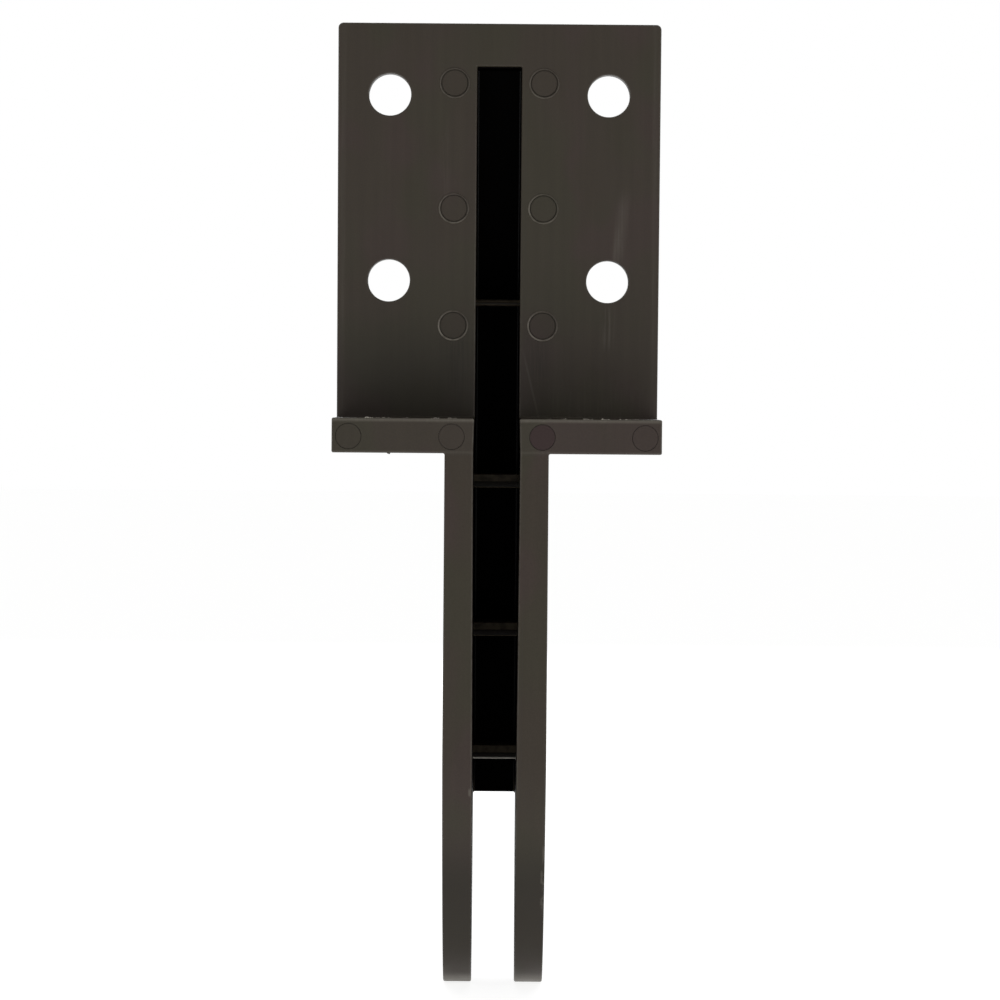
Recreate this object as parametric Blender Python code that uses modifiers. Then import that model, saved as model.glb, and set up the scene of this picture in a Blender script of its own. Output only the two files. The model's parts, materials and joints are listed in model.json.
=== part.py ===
"""Post anchor spike: a moulded ground anchor for a wooden post.

An upright plate is screwed to the side of the post, a shelf in two halves carries the post's foot,
and two blades joined by a rear web and cross ribs are driven into the soil.

Metres. X runs across the plate, Y runs back from the plate's front face and Z is up.
The origin is in the middle of the anchor at the soil line, on the underside of the shelf and in
the plane of the plate's front face.
"""

import math

import bmesh
import bpy
from mathutils import Matrix

COLLECTION = "post_anchor_spike"
GAP = 0.0003  # clearance between neighbouring members

# Plate
PLATE_WIDTH = 0.0890  # at its foot, and over the shelf
PLATE_FLARE = 0.0006  # how much wider the plate's top is
PLATE_HEIGHT = 0.1187  # above the soil line
PLATE_THICKNESS = 0.0060
PLATE_CORNER_RADIUS = 0.0014
HOLE_DIAMETER = 0.0117
HOLE_FROM_SIDE = 0.01415  # hole centre to the plate's side
UPPER_HOLE_FROM_TOP = 0.0198
LOWER_HOLE_ABOVE_SHELF = 0.0380
SLOT_CLOSED_ABOVE = 0.0119  # plate left above the slot

# Shelf
SHELF_DEPTH = 0.0380
SHELF_THICKNESS = 0.0094

# Channel between the blades, and the lips by which the slots in front of it are narrower
CHANNEL_WIDTH = 0.0127  # at the soil line
CHANNEL_DRAFT = 0.0008  # how much narrower it is at the foot of the rear web
PLATE_SLOT_LIP = 0.0002
SHELF_SLOT_LIP = 0.0001

# Blades
BLADE_THICKNESS = 0.0077  # at the soil line
BLADE_TIP_DRAFT = 0.00035  # how far the outer face leans in along the toe
BLADE_LENGTH = 0.1476  # soil line to tip
TOE_HEIGHT = 0.0650  # the rounded part of the front edge
TOE_BACK_HEIGHT = 0.0502  # the rounded part of the back edge
TIP_SETBACK = 0.0395  # from the front edge back to the lowest point

# Spine behind the plate, measured back from the plate's front face
SPINE_DEPTH = 0.0350
SPINE_TOP_DEPTH = 0.0160
SPINE_ABOVE_SLOT = 0.0055
REAR_WEB_THICKNESS = 0.0030
REAR_WEB_INSET = 0.0010  # the blades' back edges stand this far behind the web

# Cross ribs: the bays between them get shorter on the way down
RIB_COUNT = 4
RIB_THICKNESS = 0.0036
TOP_RIB_THICKNESS = 0.0015
RIB_BEHIND_PLATE = 0.0020
TOP_RIB_ABOVE_SHELF = 0.0323
LOWEST_RIB_ABOVE_FOOT = 0.0131  # above the foot of the rear web
RIB_BAY_RATIO = 0.830

EDGE_ROUND = 0.0006
ARC_STEPS = 8
ELLIPSE_STEPS = 14
HOLE_SIDES = 40

PLASTIC = (0.048, 0.040, 0.031, 1.0)
PLASTIC_SHADED = (0.035, 0.029, 0.023, 1.0)

SLOT_TOP = PLATE_HEIGHT - SLOT_CLOSED_ABOVE
SPINE_TOP = SLOT_TOP + SPINE_ABOVE_SLOT
TOP_RIB_Z = SHELF_THICKNESS + TOP_RIB_ABOVE_SHELF
SPINE_SHOULDER = TOP_RIB_Z + TOP_RIB_THICKNESS  # the spine slopes forward above this height
REAR_WEB_FOOT = TOE_BACK_HEIGHT - BLADE_LENGTH
TOE_START = TOE_HEIGHT - BLADE_LENGTH
BEHIND_PLATE = PLATE_THICKNESS + GAP


def clear_scene():
    for obj in list(bpy.data.objects):
        bpy.data.objects.remove(obj, do_unlink=True)


def make_collection(name):
    collection = bpy.data.collections.new(name)
    bpy.context.scene.collection.children.link(collection)
    return collection


def plastic(name, colour, roughness):
    material = bpy.data.materials.new(name)
    material.use_nodes = True
    shader = material.node_tree.nodes["Principled BSDF"]
    shader.inputs["Base Color"].default_value = colour
    shader.inputs["Roughness"].default_value = roughness
    shader.inputs["Metallic"].default_value = 0.0
    return material


def between(low_value, high_value, low, high, at):
    """The value at a height, on the straight line through two given ones."""
    share = (at - low) / (high - low)
    return low_value + share * (high_value - low_value)


def channel_half_width(z):
    """Half the clear width between the blades, which narrows down to the foot of the rear web."""
    drafted = max(z, REAR_WEB_FOOT)
    foot_width = CHANNEL_WIDTH - CHANNEL_DRAFT
    return between(foot_width, CHANNEL_WIDTH, REAR_WEB_FOOT, 0.0, drafted) / 2


def blade_outer(z):
    """The blade's outer face, measured from the middle, which leans in along the toe."""
    outer = CHANNEL_WIDTH / 2 + BLADE_THICKNESS
    return between(outer - BLADE_TIP_DRAFT, outer, -BLADE_LENGTH, TOE_START, min(z, TOE_START))


def web_back(z):
    return spine_back(z) - REAR_WEB_INSET


def web_front(z):
    return web_back(z) - REAR_WEB_THICKNESS


def plate_half_width(z):
    return between(PLATE_WIDTH, PLATE_WIDTH + PLATE_FLARE, 0.0, PLATE_HEIGHT, z) / 2


def rib_heights():
    """Rib heights from the top rib down to the lowest, with each bay shorter than the one above."""
    bays = [RIB_BAY_RATIO**number for number in range(RIB_COUNT - 1)]
    drop = TOP_RIB_Z - (REAR_WEB_FOOT + LOWEST_RIB_ABOVE_FOOT)
    heights = [TOP_RIB_Z]
    for bay in bays:
        heights.append(heights[-1] - drop * bay / sum(bays))
    return heights


def spine_back(z):
    """How far back the blades reach at a height: straight below the shoulder, sloping above it."""
    if z <= SPINE_SHOULDER:
        return SPINE_DEPTH
    return between(SPINE_DEPTH, SPINE_TOP_DEPTH, SPINE_SHOULDER, SPINE_TOP, z)


def arc(centre, radii, start, end, steps):
    """Points along part of an ellipse, with the angles in degrees."""
    points = []
    for step in range(steps + 1):
        angle = math.radians(start + (end - start) * step / steps)
        across = centre[0] + radii[0] * math.cos(angle)
        up = centre[1] + radii[1] * math.sin(angle)
        points.append((across, up))
    return points


def outline_mesh(name, outlines, low, high, turn):
    """Closed outlines in the local XY plane, extruded from low to high along the local Z axis.

    The result is a mesh in world space, after the given turn.
    """
    curve = bpy.data.curves.new(name, "CURVE")
    curve.dimensions = "2D"
    curve.fill_mode = "BOTH"
    curve.extrude = (high - low) / 2
    for outline in outlines:
        spline = curve.splines.new("POLY")
        spline.points.add(len(outline) - 1)
        for point, (across, up) in zip(spline.points, outline):
            point.co = (across, up, 0.0, 1.0)
        spline.use_cyclic_u = True
    flat = bpy.data.objects.new(name, curve)
    bpy.context.scene.collection.objects.link(flat)
    depsgraph = bpy.context.evaluated_depsgraph_get()
    mesh = bpy.data.meshes.new_from_object(flat.evaluated_get(depsgraph))
    bpy.data.objects.remove(flat, do_unlink=True)
    bpy.data.curves.remove(curve)
    mesh.transform(turn @ Matrix.Translation((0.0, 0.0, (low + high) / 2)))
    solid = bmesh.new()
    solid.from_mesh(mesh)
    bmesh.ops.remove_doubles(solid, verts=solid.verts, dist=1e-6)
    bmesh.ops.recalc_face_normals(solid, faces=solid.faces)
    solid.to_mesh(mesh)
    solid.free()
    return mesh


# Local XY to world XZ, with local Z running back along world Y.
UPRIGHT = Matrix(((1, 0, 0, 0), (0, 0, 1, 0), (0, 1, 0, 0), (0, 0, 0, 1)))
# Local XY to world YZ, with local Z running along world X.
SIDEWAYS = Matrix(((0, 0, 1, 0), (1, 0, 0, 0), (0, 1, 0, 0), (0, 0, 0, 1)))


def set_side(mesh, low_x, high_x):
    """Moves the two flat sides of a mesh that spans -1 to 1 along X onto two drafted faces."""
    for vertex in mesh.vertices:
        place = low_x if vertex.co.x < 0 else high_x
        vertex.co.x = place(vertex.co.z)


def add_member(name, mesh, collection, material):
    mesh.name = name
    mesh.materials.clear()
    mesh.materials.append(material)
    member = bpy.data.objects.new(name, mesh)
    collection.objects.link(member)
    return member


def round_edges(member, width):
    bevel = member.modifiers.new("edge_round", "BEVEL")
    bevel.width = width
    bevel.segments = 2
    bevel.limit_method = "ANGLE"
    bevel.angle_limit = math.radians(50)
    bevel.use_clamp_overlap = True


def plate_outline():
    """The plate's edge, up one side, round the top corners, down the other and round the slot."""
    radius = PLATE_CORNER_RADIUS
    corner_z = PLATE_HEIGHT - radius
    corner_x = plate_half_width(PLATE_HEIGHT) - radius
    slot = CHANNEL_WIDTH / 2 - PLATE_SLOT_LIP
    outline = [(plate_half_width(0.0), 0.0)]
    outline += arc((corner_x, corner_z), (radius, radius), 0, 90, ARC_STEPS)
    outline += arc((-corner_x, corner_z), (radius, radius), 90, 180, ARC_STEPS)
    outline += [(-plate_half_width(0.0), 0.0), (-slot, 0.0)]
    outline += [(-slot, SLOT_TOP), (slot, SLOT_TOP), (slot, 0.0)]
    return outline


def make_face_plate(collection, material):
    outlines = [plate_outline()]
    radius = HOLE_DIAMETER / 2
    across = PLATE_WIDTH / 2 - HOLE_FROM_SIDE
    upper = PLATE_HEIGHT - UPPER_HOLE_FROM_TOP
    lower = SHELF_THICKNESS + LOWER_HOLE_ABOVE_SHELF
    for centre in ((-across, upper), (across, upper), (-across, lower), (across, lower)):
        outlines.append(arc(centre, (radius, radius), 0, 360, HOLE_SIDES)[:-1])
    mesh = outline_mesh("face_plate", outlines, 0.0, PLATE_THICKNESS, UPRIGHT)
    plate = add_member("face_plate", mesh, collection, material)
    round_edges(plate, EDGE_ROUND)
    return plate


def make_shelf(name, side, collection, material):
    """Half of the shelf, from the slot out to the plate's edge."""
    slot = CHANNEL_WIDTH / 2 - SHELF_SLOT_LIP
    half = PLATE_WIDTH / 2
    outline = [
        (-SHELF_DEPTH, 0.0),
        (-GAP, 0.0),
        (-GAP, SHELF_THICKNESS),
        (-SHELF_DEPTH, SHELF_THICKNESS),
    ]
    mesh = outline_mesh(name, [outline], -1.0, 1.0, SIDEWAYS)
    ends = sorted((side * slot, side * half))
    set_side(mesh, lambda z: ends[0], lambda z: ends[1])
    shelf = add_member(name, mesh, collection, material)
    round_edges(shelf, EDGE_ROUND)
    return shelf


def blade_outline():
    """The blade's side view: spine edge, front edge, round toe, tip and back edge."""
    front = -SHELF_DEPTH
    tip = front + TIP_SETBACK
    outline = [(BEHIND_PLATE, SPINE_TOP), (BEHIND_PLATE, -GAP), (front, -GAP)]
    outline += arc((tip, TOE_START), (TIP_SETBACK, TOE_HEIGHT), 180, 270, ELLIPSE_STEPS)
    back_radii = (SPINE_DEPTH - tip, TOE_BACK_HEIGHT)
    outline += arc((tip, REAR_WEB_FOOT), back_radii, 270, 360, ELLIPSE_STEPS)[1:]
    outline += [(SPINE_DEPTH, SPINE_SHOULDER), (SPINE_TOP_DEPTH, SPINE_TOP)]
    return outline


def make_blade(name, side, collection, material):
    mesh = outline_mesh(name, [blade_outline()], -1.0, 1.0, SIDEWAYS)
    if side > 0:
        set_side(mesh, channel_half_width, blade_outer)
    else:
        set_side(mesh, lambda z: -blade_outer(z), lambda z: -channel_half_width(z))
    blade = add_member(name, mesh, collection, material)
    round_edges(blade, EDGE_ROUND)
    return blade


def fit_in_channel(mesh):
    """Gives a member that lies between the blades its width, with a clearance on both sides."""
    set_side(mesh, lambda z: GAP - channel_half_width(z), lambda z: channel_half_width(z) - GAP)


def make_rear_web(collection, material):
    """The channel's back wall, which follows the blades' back edges."""
    heights = (REAR_WEB_FOOT, SPINE_SHOULDER, SPINE_TOP)
    outline = [(web_back(z), z) for z in heights]
    outline += [(web_front(z), z) for z in reversed(heights)]
    mesh = outline_mesh("rear_web", [outline], -1.0, 1.0, SIDEWAYS)
    fit_in_channel(mesh)
    return add_member("rear_web", mesh, collection, material)


def channel_member(name, low_z, high_z, front, collection, material):
    """A flat wall across the channel, from a given front edge back to the rear web."""
    outline = [(front, low_z), (front, high_z)]
    outline += [(web_front(z) - GAP, z) for z in (high_z, low_z)]
    mesh = outline_mesh(name, [outline], -1.0, 1.0, SIDEWAYS)
    fit_in_channel(mesh)
    return add_member(name, mesh, collection, material)


def make_anchor():
    collection = make_collection(COLLECTION)
    make_face_plate(collection, plastic("plate_plastic", PLASTIC, 0.45))
    for name, side in (("left", -1), ("right", 1)):
        shelf_plastic = plastic(f"{name}_shelf_plastic", PLASTIC, 0.45)
        make_shelf(f"{name}_shelf", side, collection, shelf_plastic)
        blade_plastic = plastic(f"{name}_blade_plastic", PLASTIC, 0.45)
        make_blade(f"{name}_blade", side, collection, blade_plastic)
    make_rear_web(collection, plastic("web_plastic", PLASTIC_SHADED, 0.5))
    top_plastic = plastic("top_web_plastic", PLASTIC_SHADED, 0.5)
    channel_member("top_web", SLOT_TOP, SPINE_TOP, BEHIND_PLATE, collection, top_plastic)
    rib_front = PLATE_THICKNESS + RIB_BEHIND_PLATE
    for number, height in enumerate(rib_heights(), start=1):
        rib_plastic = plastic(f"rib_plastic_{number}", PLASTIC_SHADED, 0.5)
        thickness = TOP_RIB_THICKNESS if number == 1 else RIB_THICKNESS
        low = height - thickness / 2
        high = height + thickness / 2
        channel_member(f"cross_rib_{number}", low, high, rib_front, collection, rib_plastic)


clear_scene()
make_anchor()
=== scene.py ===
"""Post anchor spike: the finished look of the moulding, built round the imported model.

The real anchor is one injection moulding in dark brown-grey plastic. Each section below makes one
member of it, or one kind of mark that the mould left on it, in the order a mould maker would cut
them: the body first, then the walls inside its channel, then pin marks and flash.
"""

import json
import math

import bmesh
import bpy
from mathutils import Matrix, Vector
from mathutils.bvhtree import BVHTree
from mathutils.interpolate import poly_3d_calc
from mathutils.kdtree import KDTree


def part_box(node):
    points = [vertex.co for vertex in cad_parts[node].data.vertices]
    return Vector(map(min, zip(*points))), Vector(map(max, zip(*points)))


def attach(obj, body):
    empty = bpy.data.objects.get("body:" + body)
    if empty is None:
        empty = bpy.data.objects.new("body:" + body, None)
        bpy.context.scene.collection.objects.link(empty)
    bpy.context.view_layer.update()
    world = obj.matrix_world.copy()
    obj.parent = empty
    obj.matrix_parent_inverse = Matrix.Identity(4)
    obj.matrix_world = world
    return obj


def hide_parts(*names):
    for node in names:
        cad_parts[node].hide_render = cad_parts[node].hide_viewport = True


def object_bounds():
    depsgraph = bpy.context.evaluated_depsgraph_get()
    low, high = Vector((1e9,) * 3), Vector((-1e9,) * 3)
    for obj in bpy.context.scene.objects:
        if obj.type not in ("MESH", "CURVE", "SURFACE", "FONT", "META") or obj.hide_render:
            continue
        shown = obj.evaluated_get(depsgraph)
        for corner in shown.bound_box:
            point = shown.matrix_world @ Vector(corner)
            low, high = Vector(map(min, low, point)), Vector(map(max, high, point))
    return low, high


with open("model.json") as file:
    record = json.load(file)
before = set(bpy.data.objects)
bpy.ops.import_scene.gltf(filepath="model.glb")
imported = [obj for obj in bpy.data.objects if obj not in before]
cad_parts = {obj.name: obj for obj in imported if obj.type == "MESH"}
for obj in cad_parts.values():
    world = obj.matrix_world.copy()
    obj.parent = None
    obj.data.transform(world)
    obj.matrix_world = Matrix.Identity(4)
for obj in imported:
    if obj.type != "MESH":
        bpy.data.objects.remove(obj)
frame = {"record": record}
cad_low, cad_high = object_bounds()
MM = 0.001


# Camera and studio
# A pale, softly glowing sweep under the blade tips and a dimmer room above it, so that most light
# comes from below and the shelf shades the foot of the plate. A long lens looks on from the front.

CAMERA_DISTANCE = 1176 * MM  # in front of the shelf's front face
CAMERA_HEIGHT = 16.5 * MM  # above the soil line
CAMERA_LENS = 157.3
CAMERA_SENSOR = 36.0
CAMERA_AIM = (1.0 * MM, -12.45 * MM)  # across and up, in the plane of the shelf's front
CAMERA_ROLL = 0.46
SOFTBOXES = (  # name, place, width and height, watts; all of them face the origin
    ("low_front", (0.0, -1.7, -1.0), (2.4, 1.4), 17.0),
    ("left_front", (-1.3, -1.2, 0.5), (0.7, 1.2), 2.0),
    ("right_front", (1.3, -1.2, 0.2), (0.7, 1.4), 6.0),
    ("back", (0.0, 1.3, 0.6), (1.4, 0.9), 12.0),
)
ROOM_LIGHT = 0.30
WHITE = (1.0, 1.0, 1.0, 1.0)
FLOOR_COLOUR = (0.45, 0.45, 0.445, 1.0)
FLOOR_ROUGHNESS = 0.9
FLOOR_GLOSS = 0.1
FLOOR_GLOW = 0.85
FLOOR_BOUNCE = 0.40
FLOOR_RADIUS = 6000 * MM
FLOOR_SIDES = 96
FLOOR_GAP = 0.2 * MM


def put_in_scene(name, data):
    """A scene object that holds a mesh, a light or a camera."""
    made = bpy.data.objects.new(name, data)
    bpy.context.collection.objects.link(made)
    return made


def feed(tree, socket, value):
    """Links a socket to the value if that is a socket too, or else makes it the socket's own."""
    if isinstance(value, bpy.types.NodeSocket):
        tree.links.new(value, socket)
    elif value is not None:
        socket.default_value = value


def add_node(tree, kind, name, values=None, **settings):
    """A node with its settings, then its sockets fed with constants or other sockets."""
    made = tree.nodes.new(kind)
    made.name = made.label = name
    for key, value in settings.items():
        setattr(made, key, value)
    for key, value in (values or {}).items():
        feed(tree, made.inputs[key], value)
    return made


shelf_low, shelf_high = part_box("left_shelf")
aim = Vector((CAMERA_AIM[0], shelf_low.y, CAMERA_AIM[1]))
camera_data = bpy.data.cameras.new("camera")
camera_data.lens = CAMERA_LENS
camera_data.sensor_width = CAMERA_SENSOR
camera = put_in_scene("camera", camera_data)
camera.location = (0.0, shelf_low.y - CAMERA_DISTANCE, CAMERA_HEIGHT)
facing = (aim - camera.location).to_track_quat("-Z", "Y").to_matrix()
camera.rotation_euler = (facing @ Matrix.Rotation(math.radians(CAMERA_ROLL), 3, "Z")).to_euler()
bpy.context.scene.camera = camera
bpy.context.scene.view_settings.view_transform = "Standard"

for name, place, size, watts in SOFTBOXES:
    softbox = bpy.data.lights.new(name, "AREA")
    softbox.shape = "RECTANGLE"
    softbox.size, softbox.size_y = size
    softbox.energy = watts
    light = put_in_scene(name, softbox)
    light.location = place
    light.rotation_euler = (-light.location).to_track_quat("-Z", "Y").to_euler()

world = bpy.data.worlds.new("studio")
world.use_nodes = True
bpy.context.scene.world = world
sky = world.node_tree
sky.nodes.clear()
room = add_node(sky, "ShaderNodeBackground", "room", {"Color": (ROOM_LIGHT, ROOM_LIGHT, ROOM_LIGHT, 1.0)})
backdrop = add_node(sky, "ShaderNodeBackground", "backdrop", {"Color": WHITE})
looked_at = add_node(sky, "ShaderNodeLightPath", "path").outputs["Is Camera Ray"]
seen = add_node(
    sky,
    "ShaderNodeMixShader",
    "seen",
    {"Fac": looked_at, 1: room.outputs[0], 2: backdrop.outputs[0]},
).outputs["Shader"]
add_node(sky, "ShaderNodeOutputWorld", "output", {"Surface": seen})

floor_paint = bpy.data.materials.new("floor_paint")
floor_paint.use_nodes = True
paint_tree = floor_paint.node_tree
ray = add_node(paint_tree, "ShaderNodeLightPath", "ray").outputs["Is Diffuse Ray"]
glow = add_node(
    paint_tree,
    "ShaderNodeMapRange",
    "bounce",
    {"Value": ray, "To Min": FLOOR_GLOW, "To Max": FLOOR_BOUNCE},
).outputs["Result"]
for label, value in (
    ("Base Color", FLOOR_COLOUR),
    ("Roughness", FLOOR_ROUGHNESS),
    ("Specular IOR Level", FLOOR_GLOSS),
    ("Emission Color", WHITE),
    ("Emission Strength", glow),
):
    feed(paint_tree, paint_tree.nodes["Principled BSDF"].inputs[label], value)
floor_place = (0.0, 0.0, cad_low.z - FLOOR_GAP)
bpy.ops.mesh.primitive_circle_add(
    vertices=FLOOR_SIDES, radius=FLOOR_RADIUS, fill_type="NGON", location=floor_place
)
floor = bpy.context.object
floor.name = "floor"
floor.data.materials.append(floor_paint)
floor.visible_shadow = False


# Moulding body
# Plate, shelf, blades and the spine behind the plate are one shot of brown-black plastic, so they are
# worked as one skin: three blocks joined, the channel cut through them, then every corner eased.

EDGE_RADIUS = 0.45 * MM
EDGE_STEPS = 3
SAME_SPOT = 0.002 * MM
FLAT = math.radians(0.05)
SHARP_CORNER = math.radians(30.0)
CREASE_BEND = math.radians(5.0)
PLATE_CORNER = 1.4 * MM
PLATE_CORNER_STEPS = 5
PLATE_FLARE = 0.29 * MM  # a side, from the foot to the top
TOE_HEIGHT = 65.0 * MM
TOE_BACK_HEIGHT = 50.2 * MM
TIP_SETBACK = 39.5 * MM
TIP_DRAFT = 0.35 * MM
TOE_STEPS = 40
SPINE_SHOULDER = 43.2 * MM
SPINE_TOP_DEPTH = 16.0 * MM
CHANNEL_HALVES = (  # height, half width
    (-97.4 * MM, 5.95 * MM),
    (0.0 * MM, 6.35 * MM),
    (10.0 * MM, 6.13 * MM),
    (106.8 * MM, 6.19 * MM),
)
WEB_INSET = 1.0 * MM
WEB_THICKNESS = 3.0 * MM
CUT_PAST = 2.0 * MM
X, Y, Z = 0, 1, 2

plate_low, plate_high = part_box("face_plate")
blade_low, blade_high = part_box("right_blade")
top_web_low, top_web_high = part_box("top_web")
shelf_top = shelf_high.z
shelf_front = shelf_low.y
plate_back = plate_high.y
plate_foot_half = -shelf_low.x
plate_top = plate_high.z
slot_top = top_web_low.z


def solid_object(name, shape):
    """The finished shape as an object, its faces turned outwards."""
    bmesh.ops.recalc_face_normals(shape, faces=shape.faces)
    mesh = bpy.data.meshes.new(name)
    shape.to_mesh(mesh)
    shape.free()
    return put_in_scene(name, mesh)


def outline_object(name, outline, low, high, axes):
    """A closed outline made a solid; axes tell on which axes its two numbers and its depth lie."""
    shape = bmesh.new()
    corners = []
    for first, second in outline:
        corner = [0.0, 0.0, 0.0]
        corner[axes[0]] = first
        corner[axes[1]] = second
        corner[axes[2]] = low
        corners.append(shape.verts.new(corner))
    made = bmesh.ops.extrude_face_region(shape, geom=[shape.faces.new(corners)])
    for item in made["geom"]:
        if isinstance(item, bmesh.types.BMVert):
            item.co[axes[2]] = high
    return solid_object(name, shape)


def fold_line(solid, height):
    """Adds an edge all round a solid at one height, so that its sides can bend there and stay flat."""
    shape = bmesh.new()
    shape.from_mesh(solid.data)
    parts = shape.verts[:] + shape.edges[:] + shape.faces[:]
    bmesh.ops.bisect_plane(shape, geom=parts, plane_co=(0.0, 0.0, height), plane_no=(0.0, 0.0, 1.0))
    shape.to_mesh(solid.data)
    shape.free()


def ellipse(centre, radii, start, end, steps):
    """Points along part of an ellipse, its angles in degrees."""
    points = []
    for step in range(steps + 1):
        angle = math.radians(start + (end - start) * step / steps)
        points.append((centre[0] + radii[0] * math.cos(angle), centre[1] + radii[1] * math.sin(angle)))
    return points


def settle(target):
    """Makes the evaluated shape the object's own mesh and drops its modifiers."""
    evaluated = target.evaluated_get(bpy.context.evaluated_depsgraph_get())
    mesh = bpy.data.meshes.new_from_object(evaluated)
    target.modifiers.clear()
    target.data = mesh


def work_shape(target, other, operation):
    """Joins another solid to the target or cuts it out, and removes the other."""
    change = target.modifiers.new(operation, "BOOLEAN")
    change.operation = operation
    change.object = other
    change.solver = "EXACT"
    settle(target)
    bpy.data.objects.remove(other, do_unlink=True)


corner_at = plate_foot_half + PLATE_FLARE - PLATE_CORNER
corner_centre = (corner_at, plate_top - PLATE_CORNER)
corner = ellipse(corner_centre, (PLATE_CORNER, PLATE_CORNER), 0, 90, PLATE_CORNER_STEPS)
plate_side = [(plate_foot_half, 0.0), (plate_foot_half, shelf_top)] + corner
plate_outline = plate_side + [(-x, z) for x, z in reversed(plate_side)]
body = outline_object("moulding_body", plate_outline, 0.0, plate_back, (X, Z, Y))
inside_plate = plate_back / 2
shelf_outline = [(shelf_front, 0.0), (inside_plate, 0.0)]
shelf_outline += [(inside_plate, shelf_top), (shelf_front, shelf_top)]
shelf = outline_object("shelf_block", shelf_outline, -plate_foot_half, plate_foot_half, (Y, Z, X))
work_shape(body, shelf, "UNION")

tip = shelf_front + TIP_SETBACK
toe_start = blade_low.z + TOE_HEIGHT
web_foot = blade_low.z + TOE_BACK_HEIGHT
inside_shelf = shelf_top / 2
blade_profile = [(inside_plate, blade_high.z), (inside_plate, inside_shelf), (shelf_front, inside_shelf)]
blade_profile += ellipse((tip, toe_start), (TIP_SETBACK, TOE_HEIGHT), 180, 270, TOE_STEPS)
toe_back = ellipse((tip, web_foot), (blade_high.y - tip, TOE_BACK_HEIGHT), 270, 360, TOE_STEPS)
blade_profile += toe_back[1:] + [(blade_high.y, SPINE_SHOULDER), (SPINE_TOP_DEPTH, blade_high.z)]
blade_block = outline_object("blade_block", blade_profile, -blade_high.x, blade_high.x, (Y, Z, X))
fold_line(blade_block, toe_start)
for vertex in blade_block.data.vertices:
    lean = max(0.0, toe_start - vertex.co.z) / TOE_HEIGHT
    vertex.co.x -= math.copysign(TIP_DRAFT * lean, vertex.co.x)
work_shape(body, blade_block, "UNION")


def channel_half(z):
    """Half the channel's width: parallel at the toes, widest at the soil line, narrower in the plate."""
    for (low, half_low), (high, half_high) in zip(CHANNEL_HALVES, CHANNEL_HALVES[1:]):
        if z <= high:
            share = max(0.0, (z - low) / (high - low))
            return half_low + (half_high - half_low) * share
    return CHANNEL_HALVES[-1][1]


def spine_back(z):
    """How far back the blades reach: upright to the shoulder, then leaning in to the top."""
    climb = max(0.0, z - SPINE_SHOULDER) / (blade_high.z - SPINE_SHOULDER)
    return blade_high.y + (SPINE_TOP_DEPTH - blade_high.y) * climb


past_toes = blade_low.z - CUT_PAST
past_front = shelf_front - CUT_PAST
past_back = blade_high.y + CUT_PAST
past_top = blade_high.z + CUT_PAST
web_back = [(spine_back(z) - WEB_INSET, z) for z in (past_top, SPINE_SHOULDER, web_foot)]
web_heights = (web_foot, SPINE_SHOULDER, slot_top)
web_front = [(spine_back(z) - WEB_INSET - WEB_THICKNESS, z) for z in web_heights]
channel_profile = [(past_front, past_toes), (past_back, past_toes), (past_back, past_top)]
channel_profile += web_back + web_front + [(past_front, slot_top)]
channel = outline_object("channel_cut", channel_profile, -1.0, 1.0, (Y, Z, X))
for height, half in CHANNEL_HALVES:
    fold_line(channel, height)
for vertex in channel.data.vertices:
    vertex.co.x *= channel_half(vertex.co.z)
work_shape(body, channel, "DIFFERENCE")

skin = bmesh.new()
skin.from_mesh(body.data)
bmesh.ops.remove_doubles(skin, verts=skin.verts, dist=SAME_SPOT)
bmesh.ops.dissolve_limit(skin, angle_limit=FLAT, verts=skin.verts, edges=skin.edges)
corners = [edge for edge in skin.edges if edge.calc_face_angle() > SHARP_CORNER]
eased = bmesh.ops.bevel(
    skin,
    geom=corners,
    offset=EDGE_RADIUS,
    offset_type="OFFSET",
    segments=EDGE_STEPS,
    profile=0.5,
    affect="EDGES",
    clamp_overlap=False,
)
rounded = set(eased["faces"])
corner_spots = []
for vertex in skin.verts:
    if all(face in rounded for face in vertex.link_faces):
        creases = [edge for edge in vertex.link_edges if edge.calc_face_angle() > CREASE_BEND]
        if all(edge.is_convex for edge in creases):
            corner_spots.append(vertex.co.copy())
skin.to_mesh(body.data)
skin.free()


# Screw holes
# Four plain clearance bores for the post screws, left by core pins in the mould, with a slight
# radius where each breaks through the front and the back of the plate.

HOLE_DIAMETER = 11.7 * MM
HOLE_LIP = 0.35 * MM
LIP_STEPS = 3
LIP_RUBBED = (0.1 * HOLE_LIP, 0.9 * HOLE_LIP)  # how deep its rubbed stretch lies
HOLE_SIDES = 72


def turned_object(name, profile, sides, centres, start):
    """Cutters turned about Y from (radius, depth) rings, one at each (x, z) centre."""
    shape = bmesh.new()
    for x, z in centres:
        rings = []
        for radius, depth in profile:
            ring = []
            for side in range(sides):
                angle = 2 * math.pi * side / sides
                place = (x + radius * math.cos(angle), start + depth, z + radius * math.sin(angle))
                ring.append(shape.verts.new(place))
            rings.append(ring)
        for ring, following in zip(rings, rings[1:]):
            for side in range(sides):
                after = (side + 1) % sides
                shape.faces.new((ring[side], ring[after], following[after], following[side]))
        shape.faces.new(rings[0])
        shape.faces.new(rings[-1])
    return solid_object(name, shape)


hole_centres = []
for opening in frame["record"]["physics"]["openings"]:
    if opening["name"].endswith("screw_hole"):
        low, high = opening["box_m"]
        hole_centres.append(((low[X] + high[X]) / 2, (low[Z] + high[Z]) / 2))

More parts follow.
